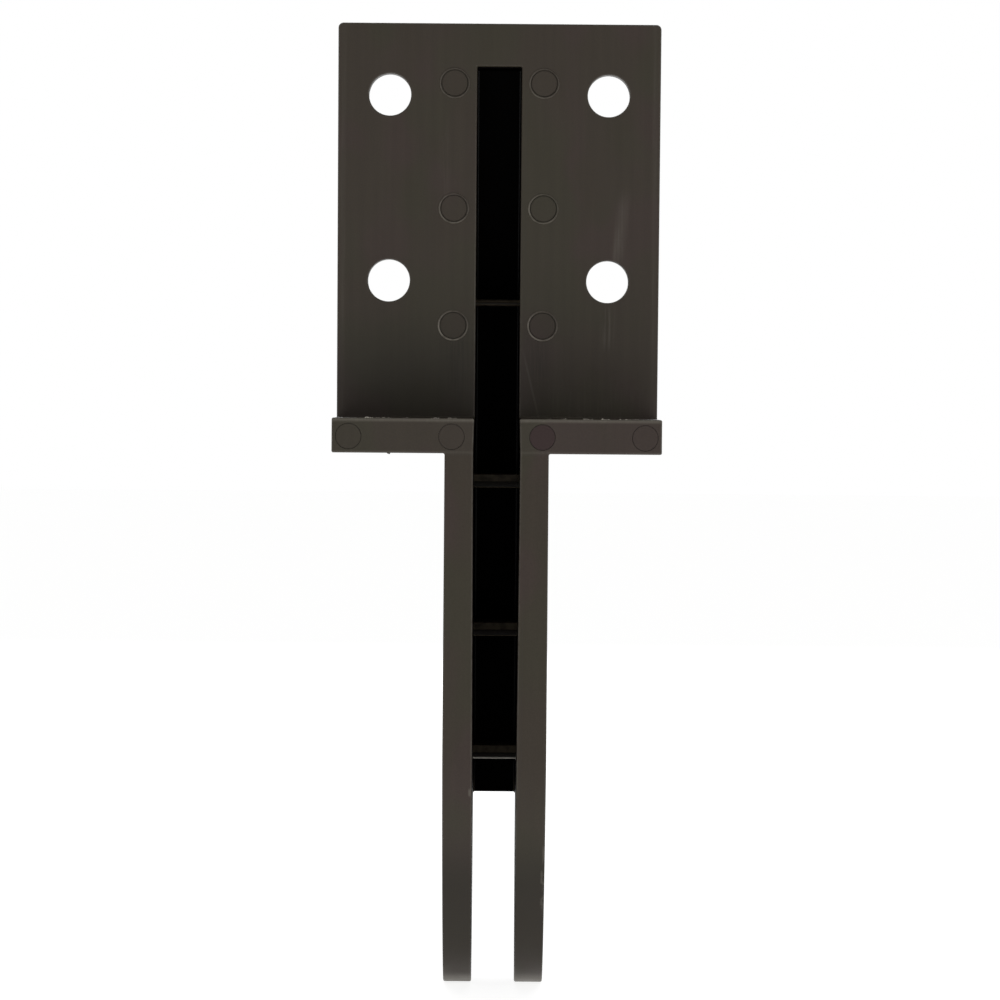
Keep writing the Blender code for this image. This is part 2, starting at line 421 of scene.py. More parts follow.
bore = HOLE_DIAMETER / 2
lip = ellipse((bore + HOLE_LIP, HOLE_LIP), (HOLE_LIP, HOLE_LIP), 270, 180, LIP_STEPS)
bore_profile = [(bore + HOLE_LIP, -CUT_PAST)] + lip
bore_profile += [(radius, plate_back - depth) for radius, depth in reversed(bore_profile)]
bores = turned_object("bores", bore_profile, HOLE_SIDES, hole_centres, 0.0)
for vertex in bores.data.vertices:
    depth = min(vertex.co.y, plate_back - vertex.co.y)
    if LIP_RUBBED[0] < depth < LIP_RUBBED[1]:
        corner_spots.append(vertex.co.copy())
work_shape(body, bores, "DIFFERENCE")


# Pin pockets
# Ten ejector pins push on the plate and on the shelf's front. Each leaves a round witness line, cut
# here as a shallow pocket that its disc nearly fills.

PIN_SIDES = 48
PIN_POCKET_DEPTH = 0.35 * MM
PLATE_PIN_RADIUS = 3.9 * MM
PLATE_PINS_ACROSS = 12.42 * MM
PLATE_PINS_ABOVE_SHELF = (25.6 * MM, 58.1 * MM, 92.8 * MM)
SHELF_PIN_RADIUS = 3.55 * MM
SHELF_PINS_ACROSS = (-40.0 * MM, -12.2 * MM, 12.3 * MM, 40.0 * MM)
SHELF_PIN_HEIGHT = 4.45 * MM

plate_pins = []
for up in PLATE_PINS_ABOVE_SHELF:
    plate_pins += [(-PLATE_PINS_ACROSS, shelf_top + up), (PLATE_PINS_ACROSS, shelf_top + up)]
shelf_pins = [(across, SHELF_PIN_HEIGHT) for across in SHELF_PINS_ACROSS]
for name, radius, centres, start in (
    ("plate_pockets", PLATE_PIN_RADIUS, plate_pins, 0.0),
    ("shelf_pockets", SHELF_PIN_RADIUS, shelf_pins, shelf_front),
):
    pocket_profile = [(radius, -CUT_PAST), (radius, PIN_POCKET_DEPTH)]
    work_shape(body, turned_object(name, pocket_profile, PIN_SIDES, centres, start), "DIFFERENCE")


# Members of the moulding
# The skin is parted where one member runs into the next, a little past each inside corner, so that
# the plate, shelf halves, blades and webs are separate closed pieces with no line showing.

PART_LINE = 0.5 * MM
FAR = 400 * MM
WELD_WITHIN = 0.0005 * MM
BEND = math.radians(40.0)

whole_skin = bmesh.new()
whole_skin.from_mesh(body.data)
whole_skin.faces.ensure_lookup_table()
whole_tree = BVHTree.FromBMesh(whole_skin)
corner_tree = KDTree(len(corner_spots))
for index, spot in enumerate(corner_spots):
    corner_tree.insert(spot, index)
corner_tree.balance()
whole_worn = {v: float(corner_tree.find(v.co)[2] < SAME_SPOT) for v in whole_skin.verts}


def block(low, high):
    """A plain block that reaches from one corner to the other, for parting the skin."""
    outline = [(low[X], low[Z]), (high[X], low[Z]), (high[X], high[Z]), (low[X], high[Z])]
    return outline_object("part_block", outline, low[Y], high[Y], (X, Z, Y))


def member(name, steps):
    """One closed member: the whole skin worked with each block in turn, then tidied and smoothed."""
    piece = put_in_scene(name, body.data.copy())
    for operation, solid in steps:
        work_shape(piece, solid, operation)
    shape = bmesh.new()
    shape.from_mesh(piece.data)
    bmesh.ops.remove_doubles(shape, verts=shape.verts, dist=WELD_WITHIN)
    wear_and_highlight = shape.verts.layers.float.new("edge")
    for vertex in shape.verts:
        spot, _, index, _ = whole_tree.find_nearest(vertex.co)
        face = whole_skin.faces[index]
        shares = poly_3d_calc([corner.co for corner in face.verts], spot)
        vertex[wear_and_highlight] = sum(share * whole_worn[corner] for share, corner in zip(shares, face.verts))
    shape.to_mesh(piece.data)
    shape.free()
    smooth(piece)
    return piece


def smooth(piece):
    """Smooth shading in which the larger of two meeting faces rules, so flats stay flat."""
    shape = bmesh.new()
    shape.from_mesh(piece.data)
    shape.normal_update()
    crisp = math.cos(BEND)
    normals = []
    for face in shape.faces:
        for corner in face.loops:
            total = Vector()
            for other in corner.vert.link_faces:
                if other.normal.dot(face.normal) > crisp:
                    total += other.normal * (other.calc_area() / MM**2) ** 2
            normals.append((total if total.length > 0.0 else face.normal).normalized())
    shape.free()
    piece.data.shade_smooth()
    piece.data.normals_split_custom_set(normals)


def gap_block():
    """A block as wide as the channel less the parting margin, behind the plate."""
    heights = (past_toes, web_foot, past_top)
    sides = [(channel_half(z) - PART_LINE, z) for z in heights]
    outline = sides + [(-half, z) for half, z in reversed(sides)]
    return outline_object("gap_block", outline, plate_back + PART_LINE, FAR, (X, Z, Y))


behind = plate_back + PART_LINE
plate = member("plate_skin", [("INTERSECT", block((-FAR, -PART_LINE, -PART_LINE), (FAR, behind, FAR)))])
halves = {"left": (-FAR, 0.0), "right": (0.0, FAR)}
shelves = {}
for side, (start, end) in halves.items():
    shelf_block = block((start, -FAR, -PART_LINE), (end, -PART_LINE, FAR))
    shelves[side] = member(f"{side}_shelf_skin", [("INTERSECT", shelf_block)])
blades = {}
for side, (start, end) in halves.items():
    blade_steps = [
        ("DIFFERENCE", block((-FAR, -FAR, -PART_LINE), (FAR, behind, FAR))),
        ("INTERSECT", block((start, -FAR, -FAR), (end, FAR, FAR))),
        ("DIFFERENCE", gap_block()),
    ]
    blades[side] = member(f"{side}_blade_skin", blade_steps)
web_split = slot_top - PART_LINE
under_split = block((-FAR, -FAR, -FAR), (FAR, FAR, web_split))
rear_web = member("rear_web_skin", [("INTERSECT", gap_block()), ("INTERSECT", under_split)])
over_split = block((-FAR, -FAR, web_split), (FAR, FAR, FAR))
top_web = member("top_web_skin", [("INTERSECT", gap_block()), ("INTERSECT", over_split)])
whole_skin.free()
bpy.data.objects.remove(body)


# Moulded plastic
# Recycled-grade polypropylene, near black with a brown cast: cloudy where the pigment is uneven,
# faintly streaked along the flow, fine-grained by the mould's finish, and rubbed paler on corners.
# Painted shade darkens the channel's walls, the ribs, the plate's foot and the toes, and painted
# highlights pale the shelf's edges, the blade tips, the rib fronts, the pin rims and the flash.

PLASTIC = (0.0384, 0.0300, 0.0216)
PLUM = (0.0422, 0.0296, 0.0246)
OLIVE = (0.0362, 0.0316, 0.0200)
RUBBED = (0.075, 0.066, 0.054)
# Pale scuffs, and painted highlights along the shelf's edges and at the blade tips.
SCUFF_AND_HIGHLIGHT = (0.150, 0.136, 0.112)
# Painted shade, for the foot of the plate above the shelf and for the toes.
PAINTED_SHADE = (0.0195, 0.0161, 0.0115)
# Painted shade: the near black that the channel's inner walls are turned, where the plastic lies in
# shadow.
PAINTED_CHANNEL_SHADE = (0.0012, 0.0009, 0.0008)
ROUGHNESS = 0.46
GRAIN_RELIEF = {"Strength": 0.25, "Distance": 0.05 * MM}
SHADE_HALF = 6.6 * MM  # a little more than the channel's half width
SHADE_FADE = 6.0 * MM  # up from the web's foot
SHADE_PAST_SLOT = 0.3 * MM
PLATE_SHADE = (0.3 * MM, 1.5 * MM)  # depths at which the walls start to darken and are dark
SLOT_SHADE = (-37.4 * MM, -35.5 * MM)
MARK_DEPTH = 1.0 * MM  # how far behind the shelf's front a mark on it reaches


def new_group(name, kind, inputs, outputs):
    """A node group, what it is given and what it has to put out.

    Each of the inputs has its default, or the kind of its socket where it has none.
    """
    tree = bpy.data.node_groups.new(name, kind)
    for label, default in inputs.items():
        socket = {float: "Float", int: "Int", tuple: "Color"}.get(type(default), default)
        made = tree.interface.new_socket(label, in_out="INPUT", socket_type=f"NodeSocket{socket}")
        if socket != default:
            made.default_value = default
    for label, socket in outputs.items():
        tree.interface.new_socket(label, in_out="OUTPUT", socket_type=f"NodeSocket{socket}")
    return tree, tree.nodes.new("NodeGroupInput").outputs, tree.nodes.new("NodeGroupOutput").inputs


def mix_colours(tree, name, factor, first, second, blend="MIX"):
    """Blends two colours; each argument is a socket or a constant."""
    values = {0: factor, 6: first, 7: second}
    mix = add_node(tree, "ShaderNodeMix", name, values, data_type="RGBA", blend_type=blend)
    return mix.outputs[2]


def ranged(tree, name, value, low, high, to_low=0.0, to_high=1.0, smooth_step=True):
    """A value between low and high, spread over the new range and held at its ends."""
    kind = "SMOOTHSTEP" if smooth_step else "LINEAR"
    values = {"Value": value, "From Min": low, "From Max": high, "To Min": to_low, "To Max": to_high}
    return add_node(tree, "ShaderNodeMapRange", name, values, interpolation_type=kind).outputs["Result"]


def noise(tree, name, coordinates, scale, detail, stretch=(1.0, 1.0, 1.0), place=(0.0, 0.0, 0.0)):
    """Noise on coordinates that are moved and stretched first."""
    fit = {"Vector": coordinates, "Scale": stretch, "Location": place}
    fitted = add_node(tree, "ShaderNodeMapping", name + "_fit", fit).outputs["Vector"]
    values = {"Vector": fitted, "Scale": scale, "Detail": detail}
    return add_node(tree, "ShaderNodeTexNoise", name, values).outputs["Fac"]


def calculate(tree, name, operation, first, second=None):
    """One sum; each argument is a socket or a number."""
    values = {0: first, 1: second}
    return add_node(tree, "ShaderNodeMath", name, values, operation=operation).outputs["Value"]


def axes_of(tree, name, place):
    """The three numbers of a place, as sockets X, Y and Z."""
    return add_node(tree, "ShaderNodeSeparateXYZ", name, {"Vector": place}).outputs


cloud, given, result = new_group(
    "pigment_cloud",
    "ShaderNodeTree",
    {
        "Coordinates": "Vector",
        "Plastic": (*PLASTIC, 1.0),
        "Plum": (*PLUM, 1.0),
        "Olive": (*OLIVE, 1.0),
        "Cloudiness": 0.8,
        "Streaks": 0.05,
    },
    {"Color": "Color"},
)
place = given["Coordinates"]
plum_noise = noise(cloud, "plum_patches", place, 62.0, 0.8, (1.0, 1.0, 0.7))
plum_mask = ranged(cloud, "plum_mask", plum_noise, 0.46, 0.62)
plum_mask = calculate(cloud, "plum_share", "MULTIPLY", plum_mask, given["Cloudiness"])
olive_noise = noise(cloud, "olive_patches", place, 55.0, 0.8, (1.0, 1.0, 0.6), (3.1, 1.7, 0.4))
olive_mask = ranged(cloud, "olive_mask", olive_noise, 0.48, 0.62)
olive_mask = calculate(cloud, "olive_share", "MULTIPLY", olive_mask, given["Cloudiness"])
clouded = mix_colours(cloud, "plum_mix", plum_mask, given["Plastic"], given["Plum"])
clouded = mix_colours(cloud, "olive_mix", olive_mask, clouded, given["Olive"])
flow = noise(cloud, "flow_streaks", place, 520.0, 3.0, (1.0, 1.0, 0.035))
flow = ranged(cloud, "flow_range", flow, 0.3, 0.7, -1.0, 1.0, smooth_step=False)
flow = calculate(cloud, "flow_share", "MULTIPLY", flow, given["Streaks"])
speckle = noise(cloud, "speckle", place, 3200.0, 2.0)
speckle = ranged(cloud, "speckle_range", speckle, 0.3, 0.7, -0.07, 0.07, smooth_step=False)
unevenness = calculate(cloud, "unevenness", "ADD", flow, speckle)
lightness = calculate(cloud, "lightness", "ADD", unevenness, 1.0)
grey = add_node(
    cloud,
    "ShaderNodeCombineColor",
    "lightness_grey",
    {"Red": lightness, "Green": lightness, "Blue": lightness},
).outputs["Color"]
feed(cloud, result["Color"], mix_colours(cloud, "streaked", 1.0, clouded, grey, "MULTIPLY"))

grain, given, result = new_group(
    "mould_grain",
    "ShaderNodeTree",
    {"Coordinates": "Vector", "Roughness": ROUGHNESS, "Unevenness": 0.06, "Scratches": 0.25},
    {"Roughness": "Float", "Height": "Float"},
)
place = given["Coordinates"]
patches = noise(grain, "polish_patches", place, 140.0, 3.0, (1.0, 1.0, 0.5), (0.7, 0.2, 2.4))
patches = ranged(grain, "polish_range", patches, 0.3, 0.7, -1.0, 1.0, smooth_step=False)
patches = calculate(grain, "polish_share", "MULTIPLY", patches, given["Unevenness"])
feed(grain, result["Roughness"], calculate(grain, "roughness_level", "ADD", given["Roughness"], patches))
fine = noise(grain, "fine_grain", place, 5200.0, 2.0)
scratches = noise(grain, "draw_scratches", place, 1500.0, 2.0, (1.0, 1.0, 0.02), (0.3, 0.9, 1.1))
scratches = ranged(grain, "scratch_lines", scratches, 0.60, 0.72)
scratches = calculate(grain, "scratch_share", "MULTIPLY", scratches, given["Scratches"])
feed(grain, result["Height"], calculate(grain, "relief", "SUBTRACT", fine, scratches))

# Painted shade: a mask for the walls inside the channel, which the plastic turns near black.
shade, given, result = new_group(
    "channel_shade",
    "ShaderNodeTree",
    {
        "Coordinates": "Vector",
        "Half Width": SHADE_HALF,
        "Start": 0.0,
        "End": 0.002,
        "Foot": -1.0,
        "Top": 1.0,
        "Back": 1.0,
        "Shoulder": 1.0,
        "Back Slope": 0.0,
    },
    {"Mask": "Float"},
)
parts = axes_of(shade, "place", given["Coordinates"])
across = calculate(shade, "across", "ABSOLUTE", parts["X"])
inside = calculate(shade, "inside", "LESS_THAN", across, given["Half Width"])
depth = ranged(shade, "depth", parts["Y"], given["Start"], given["End"])
shaded = calculate(shade, "shaded", "MULTIPLY", inside, depth)
below_top = calculate(shade, "below_top", "LESS_THAN", parts["Z"], given["Top"])
foot_end = calculate(shade, "foot_end", "ADD", given["Foot"], SHADE_FADE)
above_foot = ranged(shade, "above_foot", parts["Z"], given["Foot"], foot_end)
within = calculate(shade, "within", "MULTIPLY", below_top, above_foot)
within = calculate(shade, "shaded_within", "MULTIPLY", shaded, within)
over = calculate(shade, "over_shoulder", "SUBTRACT", parts["Z"], given["Shoulder"])
over = calculate(shade, "climb", "MAXIMUM", over, 0.0)
lean = calculate(shade, "back_lean", "MULTIPLY", over, given["Back Slope"])
back = calculate(shade, "back_limit", "SUBTRACT", given["Back"], lean)
in_front = calculate(shade, "in_front_of_web", "LESS_THAN", parts["Y"], back)
feed(shade, result["Mask"], calculate(shade, "channel_only", "MULTIPLY", within, in_front))

# A patch of colour, used for scuffs, for painted shade and for painted highlights.
scuff_and_light_mark, given, result = new_group(
    "scuff_shade_and_highlight",
    "ShaderNodeTree",
    {
        "Coordinates": "Vector",
        "Across": 0.0,
        "Up": 0.0,
        "Half Width": 0.001,
        "Half Length": 0.01,
        "Lean": 0.0,
        "Back": 1.0,
        "Strength": 0.3,
        "Raggedness": 1.0,
    },
    {"Mask": "Float"},
)
place = given["Coordinates"]
parts = axes_of(scuff_and_light_mark, "place", place)
along = calculate(scuff_and_light_mark, "along", "SUBTRACT", parts["Z"], given["Up"])
aside = calculate(scuff_and_light_mark, "aside", "SUBTRACT", parts["X"], given["Across"])
lean = calculate(scuff_and_light_mark, "lean", "MULTIPLY", along, given["Lean"])
aside = calculate(scuff_and_light_mark, "leaned", "SUBTRACT", aside, lean)
aside = calculate(scuff_and_light_mark, "aside_size", "ABSOLUTE", aside)
aside = calculate(scuff_and_light_mark, "aside_share", "DIVIDE", aside, given["Half Width"])
along = calculate(scuff_and_light_mark, "along_size", "ABSOLUTE", along)
along = calculate(scuff_and_light_mark, "along_share", "DIVIDE", along, given["Half Length"])
aside = ranged(scuff_and_light_mark, "aside_fade", aside, 0.2, 1.0, 1.0, 0.0)
along = ranged(scuff_and_light_mark, "along_fade", along, 0.3, 1.0, 1.0, 0.0)
fade = calculate(scuff_and_light_mark, "fade", "MULTIPLY", aside, along)
broken = noise(scuff_and_light_mark, "broken", place, 1500.0, 2.0, (1.0, 1.0, 0.04), (1.9, 0.1, 0.5))
broken = ranged(scuff_and_light_mark, "broken_lines", broken, 0.42, 0.62)
kept = calculate(scuff_and_light_mark, "whole_share", "SUBTRACT", 1.0, given["Raggedness"])
broken = calculate(scuff_and_light_mark, "lines", "MAXIMUM", broken, kept)
fade = calculate(scuff_and_light_mark, "faded_lines", "MULTIPLY", fade, broken)
before = calculate(scuff_and_light_mark, "before_back", "LESS_THAN", parts["Y"], given["Back"])
fade = calculate(scuff_and_light_mark, "front_only", "MULTIPLY", fade, before)
feed(scuff_and_light_mark, result["Mask"], calculate(scuff_and_light_mark, "strength", "MULTIPLY", fade, given["Strength"]))


def moulded_plastic(
    name, streaks=0.05, tone=1.0, gloss=0.25, wear_and_highlight_colour=RUBBED, marks=(), tint=None, shade_depths=None
):
    """The anchor's plastic for one member.

    shade_depths say where painted shade darkens its channel walls; marks are scuffs, painted shade
    and painted highlights laid on in patches; and tint is the colour that the mesh's own tone values
    turn it.
    """
    material = bpy.data.materials.new(name)
    material.use_nodes = True
    tree = material.node_tree
    place = add_node(tree, "ShaderNodeTexCoord", "coordinates").outputs["Object"]
    pigment = {"Coordinates": place, "Streaks": streaks}
    for label, base in (("Plastic", PLASTIC), ("Plum", PLUM), ("Olive", OLIVE)):
        pigment[label] = (*[value * tone for value in base], 1.0)
    shown = add_node(tree, "ShaderNodeGroup", "pigment", pigment, node_tree=cloud).outputs["Color"]

    # The edge colour: wear on the body's corners, and painted highlights on the ribs and the pin rims.
    edge_wear_and_highlight = add_node(tree, "ShaderNodeAttribute", "edge", attribute_name="edge").outputs["Fac"]
    edge_patchiness = noise(tree, "edge_patch_noise", place, 420.0, 3.0)
    edge_patchiness = ranged(tree, "edge_patchiness", edge_patchiness, 0.30, 0.62, 0.35, 1.0)
    edge_share = calculate(tree, "edge_share", "MULTIPLY", edge_wear_and_highlight, edge_patchiness)
    shown = mix_colours(tree, "worn_and_highlit_edges", edge_share, shown, (*wear_and_highlight_colour, 1.0))
    for index, (mark_colour, values) in enumerate(marks):
        values = {"Coordinates": place, **values}
        mask = add_node(tree, "ShaderNodeGroup", f"mark_{index}", values, node_tree=scuff_and_light_mark).outputs["Mask"]
        shown = mix_colours(tree, f"marked_{index}", mask, shown, (*mark_colour, 1.0))
    if tint:
        tone_value = add_node(tree, "ShaderNodeAttribute", "tone", attribute_name="tone").outputs["Fac"]
        shown = mix_colours(tree, "toned", tone_value, shown, (*tint, 1.0))
    if shade_depths:
        spine_rise = blade_high.z - SPINE_SHOULDER
        values = {
            "Coordinates": place,
            "Start": shade_depths[0],
            "End": shade_depths[1],
            "Foot": web_foot,
            "Top": slot_top + SHADE_PAST_SLOT,
            "Back": blade_high.y - WEB_INSET - WEB_THICKNESS / 2,
            "Shoulder": SPINE_SHOULDER,
            "Back Slope": (blade_high.y - SPINE_TOP_DEPTH) / spine_rise,
        }
        # Painted shade: the channel's walls are turned near black.
        dark = add_node(tree, "ShaderNodeGroup", "channel", values, node_tree=shade).outputs["Mask"]
        shown = mix_colours(tree, "painted_deep_shade", dark, shown, (*PAINTED_CHANNEL_SHADE, 1.0))

    finish = add_node(tree, "ShaderNodeGroup", "grain", {"Coordinates": place}, node_tree=grain).outputs
    bump = add_node(tree, "ShaderNodeBump", "relief", {"Height": finish["Height"], **GRAIN_RELIEF})
    for label, value in (
        ("Base Color", shown),
        ("Specular IOR Level", gloss),
        ("Roughness", finish["Roughness"]),
        ("Normal", bump.outputs["Normal"]),
    ):
        feed(tree, tree.nodes["Principled BSDF"].inputs[label], value)
    return material


def fit_piece(piece, material, node, inner=None):
    """Gives a piece its plastic, its channel faces the painted-shade one, and its place in the model."""
    piece.data.materials.clear()
    piece.data.materials.append(material)
    if inner:
        piece.data.materials.append(inner)
        for face in piece.data.polygons:
            middle = spine_back(face.center.z) - WEB_INSET - WEB_THICKNESS / 2
            in_channel = face.center.y < middle and face.center.z < slot_top + EDGE_RADIUS
            face.material_index = int(in_channel)
    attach(piece, "root")
    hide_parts(node)


def mark_at(
    across, up, half_width, half_length, lean=0.0, strength=0.3, raggedness=1.0, back=1.0, colour=SCUFF_AND_HIGHLIGHT
):
    """A mark's colour, and where it lies in millimetres and how it looks."""
    return colour, {
        "Across": across * MM,
        "Up": up * MM,
        "Half Width": half_width * MM,
        "Half Length": half_length * MM,
        "Lean": lean,
        "Strength": strength,
        "Raggedness": raggedness,
        "Back": back,
    }


plate_marks = (
    mark_at(34.0, 62.0, 2.4, 13.0, lean=0.09, strength=0.19, raggedness=0.35),
    mark_at(33.0, 57.0, 1.4, 8.0, lean=0.09, strength=0.12, raggedness=0.5),
    mark_at(30.5, 34.5, 2.6, 8.0, strength=0.16),
    mark_at(9.4, 18.5, 0.45, 12.0, lean=-0.24, strength=0.20, raggedness=0.2),
    mark_at(43.2, 60.0, 1.1, 90.0, strength=0.10, raggedness=0.4),
    mark_at(-43.2, 60.0, 1.1, 90.0, strength=0.10, raggedness=0.4),
    # Painted shade low on the plate, beside the slot.
    mark_at(-11.0, 25.0, 5.5, 15.0, strength=0.50, raggedness=0.8, colour=PAINTED_SHADE),
    mark_at(11.0, 28.0, 4.5, 14.0, strength=0.45, raggedness=0.8, colour=PAINTED_SHADE),
    mark_at(-15.0, 80.0, 2.0, 15.0, strength=0.05),
    # Painted shade on the plate's foot, just above the shelf.
    mark_at(-30.0, shelf_top / MM, 60.0, 34.0, strength=0.45, raggedness=0.0, colour=PAINTED_SHADE),
    mark_at(27.0, shelf_top / MM, 24.0, 14.0, strength=0.09, raggedness=0.4),
)
shelf_mark_back = shelf_front + MARK_DEPTH
shelf_marks = (
    # Painted highlights along the shelf's top front edge and along its lower front edge.
    mark_at(0.0, shelf_top / MM, 260.0, 1.3, strength=0.58, raggedness=0.15, back=shelf_mark_back),
    mark_at(0.0, 0.3, 260.0, 0.5, strength=0.15, raggedness=0.3, back=shelf_mark_back),
)
leg_marks = (
    # Painted shade on the toes.
    mark_at(0.0, -127.0, 60.0, 28.0, strength=0.8, raggedness=0.0, colour=PAINTED_SHADE),
    # Painted highlight at the blade tips, where they face the pale floor.
    mark_at(0.0, blade_low.z / MM, 60.0, 4.5, strength=0.65, raggedness=0.1),
    mark_at(13.3, -118.0, 0.8, 9.0, strength=0.35, back=-28.0 * MM),
    mark_at(13.6, -108.0, 0.5, 5.0, strength=0.40, back=-33.0 * MM),
    mark_at(-6.6, -91.5, 0.5, 1.4, strength=0.55, raggedness=0.1, back=-36.0 * MM),
)
plate_plastic = moulded_plastic("plate_plastic", shade_depths=PLATE_SHADE, marks=plate_marks)
shelf_plastic = moulded_plastic("shelf_plastic", streaks=0.03, shade_depths=SLOT_SHADE, marks=shelf_marks)
blade_plastic = moulded_plastic(
    "blade_plastic",
    streaks=0.03,
    tone=1.06,
    shade_depths=SLOT_SHADE,
    gloss=0.2,
    marks=leg_marks,
)
web_plastic = moulded_plastic("web_plastic", streaks=0.03)
# Painted shade: the webs' faces inside the channel get a near-black copy of the plastic.
channel_plastic = moulded_plastic("channel_plastic", tone=0.02, gloss=0.01)
fit_piece(plate, plate_plastic, "face_plate")
for side, piece in shelves.items():
    fit_piece(piece, shelf_plastic, f"{side}_shelf")
for side, piece in blades.items():
    fit_piece(piece, blade_plastic, f"{side}_blade")
fit_piece(rear_web, web_plastic, "rear_web", inner=channel_plastic)
fit_piece(top_web, web_plastic, "top_web", inner=channel_plastic)


# Cross ribs
# Four thin ribs tie the blades together in front of the rear web, closer together the lower they
# are. They are moulded with the blades; the front edge of each is rounded. Their colour is darkened
# with painted shade, and painted highlights pale the sloped upper half of each front and each lower
# front edge, most of all on the lowest rib.

RIB_NOSE_STEPS = 12
RIB_NOSE = 0.35 * MM
# RIB_FRONT, RIB_LOWER_EDGE and RIB_MIDDLE place the painted highlights on each rib's front.
RIB_FRONT = 1.1 * RIB_NOSE  # how deep its front edge counts as an edge
RIB_LOWER_EDGE = 0.9  # how far down from its middle to its underside that edge starts
RIB_SLOPE = 1.3 * MM  # how far back the sloped upper half of its front runs
RIB_MIDDLE = 0.1 * MM  # how far below its middle the slope still counts
RIB_REACH = 0.6 * MM  # into the blades at each end, and into the web
RIB_PAINTED_HIGHLIGHT = (0.075, 0.060, 0.040)
RIB_EDGE_HIGHLIGHT = (0.70, 0.66, 0.58)

rib_boxes = [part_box(f"cross_rib_{number}") for number in (1, 2, 3, 4)]
rib_heights = [(low.z + high.z) / 2 for low, high in rib_boxes]
top_rib_half = (rib_boxes[0][1].z - rib_boxes[0][0].z) / 2
rib_half = (rib_boxes[1][1].z - rib_boxes[1][0].z) / 2
rib_front = rib_boxes[0][0].y
rib_root = blade_high.y - WEB_INSET - WEB_THICKNESS + RIB_REACH
rib_outline = [(rib_root, rib_half), (rib_front + RIB_SLOPE, rib_half), (rib_front + RIB_NOSE, 0.0)]
nose_centre = (rib_front + RIB_NOSE, -rib_half / 2)
rib_outline += ellipse(nose_centre, (RIB_NOSE, rib_half / 2), 90, 270, RIB_NOSE_STEPS)[1:]
rib_outline.append((rib_root, -rib_half))
rib_seed = outline_object("rib_seed", rib_outline, -MM, MM, (Y, Z, X))
# Painted highlights: the sloped upper half of each rib's front, and its lower front edge twice over.
rib_highlight = rib_seed.data.attributes.new("edge", "FLOAT", "POINT")
for index, vertex in enumerate(rib_seed.data.vertices):
    on_slope = vertex.co.y <= rib_front + RIB_SLOPE and vertex.co.z > -RIB_MIDDLE
    on_front = vertex.co.y < rib_front + RIB_FRONT
    on_lower_edge = on_front and vertex.co.z < -RIB_LOWER_EDGE * rib_half
    rib_highlight.data[index].value = 1.0 if on_slope else 2.0 * on_lower_edge

ladder, given, result = new_group(
    "rib_ladder",
    "GeometryNodeTree",
    {
        "Geometry": "Geometry",
        "Ribs": 4,
        "Top": 0.0,
        "First Bay": 0.0,
        "Bay Ratio": 1.0,
        "Half Width": 0.0,
        "Widening": 0.0,
        "Top Thickness": 1.0,
        "Plastic": "Material",
    },
    {"Geometry": "Geometry"},
)
number = add_node(ladder, "GeometryNodeInputIndex", "number").outputs["Index"]
shrunk = calculate(ladder, "shrunk", "POWER", given["Bay Ratio"], number)
gone = calculate(ladder, "gone", "SUBTRACT", 1.0, shrunk)
left = calculate(ladder, "left", "SUBTRACT", 1.0, given["Bay Ratio"])
bays = calculate(ladder, "bays", "DIVIDE", gone, left)
drop = calculate(ladder, "drop", "MULTIPLY", bays, given["First Bay"])
rise = calculate(ladder, "height", "SUBTRACT", given["Top"], drop)
spot = add_node(ladder, "ShaderNodeCombineXYZ", "spot", {"Z": rise}).outputs["Vector"]
spots = add_node(ladder, "GeometryNodePoints", "spots", {"Count": given["Ribs"], "Position": spot})
wider = calculate(ladder, "wider", "MULTIPLY", rise, given["Widening"])
reach = calculate(ladder, "reach", "ADD", given["Half Width"], wider)
is_top = calculate(ladder, "is_top", "LESS_THAN", number, 0.5)
thinning = calculate(ladder, "thinning", "SUBTRACT", given["Top Thickness"], 1.0)
thinned = calculate(ladder, "thinned", "MULTIPLY", is_top, thinning)
reach_share = calculate(ladder, "reach_share", "DIVIDE", reach, MM)
thickness = calculate(ladder, "thickness", "ADD", thinned, 1.0)
stretch = add_node(ladder, "ShaderNodeCombineXYZ", "stretch", {"X": reach_share, "Y": 1.0, "Z": thickness})
set_ribs = add_node(
    ladder,
    "GeometryNodeInstanceOnPoints",
    "setting",
    {"Points": spots.outputs["Points"], "Instance": given["Geometry"], "Scale": stretch.outputs["Vector"]},
)


def make_real(tree, instances):
    """The instances as real geometry."""
    real = add_node(tree, "GeometryNodeRealizeInstances", "real", {"Geometry": instances})
    return real.outputs["Geometry"]


def coat(tree, geometry, plastic, result):
    """Ends a Geometry Nodes tree: its geometry in the plastic that the tree is given."""
    values = {"Geometry": geometry, "Material": plastic}
    coated = add_node(tree, "GeometryNodeSetMaterial", "coat", values)
    feed(tree, result["Geometry"], coated.outputs["Geometry"])


coat(ladder, make_real(ladder, set_ribs.outputs["Instances"]), given["Plastic"], result)


def grow(seed, tree, values):
    """Runs a Geometry Nodes tree on a seed object and keeps the outcome as its plain mesh."""
    growth = seed.modifiers.new("growth", "NODES")
    growth.node_group = tree
    sockets = {item.name: item.identifier for item in tree.interface.items_tree if item.in_out == "INPUT"}
    for label, value in values.items():
        growth[sockets[label]] = value
    settle(seed)
    return seed


first_bay = rib_heights[0] - rib_heights[1]
# Painted highlight: a pale line along the lowest rib's lower front edge.
lowest_edge_highlight = mark_at(
    0.0,
    (rib_heights[-1] - rib_half) / MM,
    60.0,
    0.6,
    strength=1.0,
    raggedness=0.0,
    back=rib_front + RIB_FRONT,
    colour=RIB_EDGE_HIGHLIGHT,
)
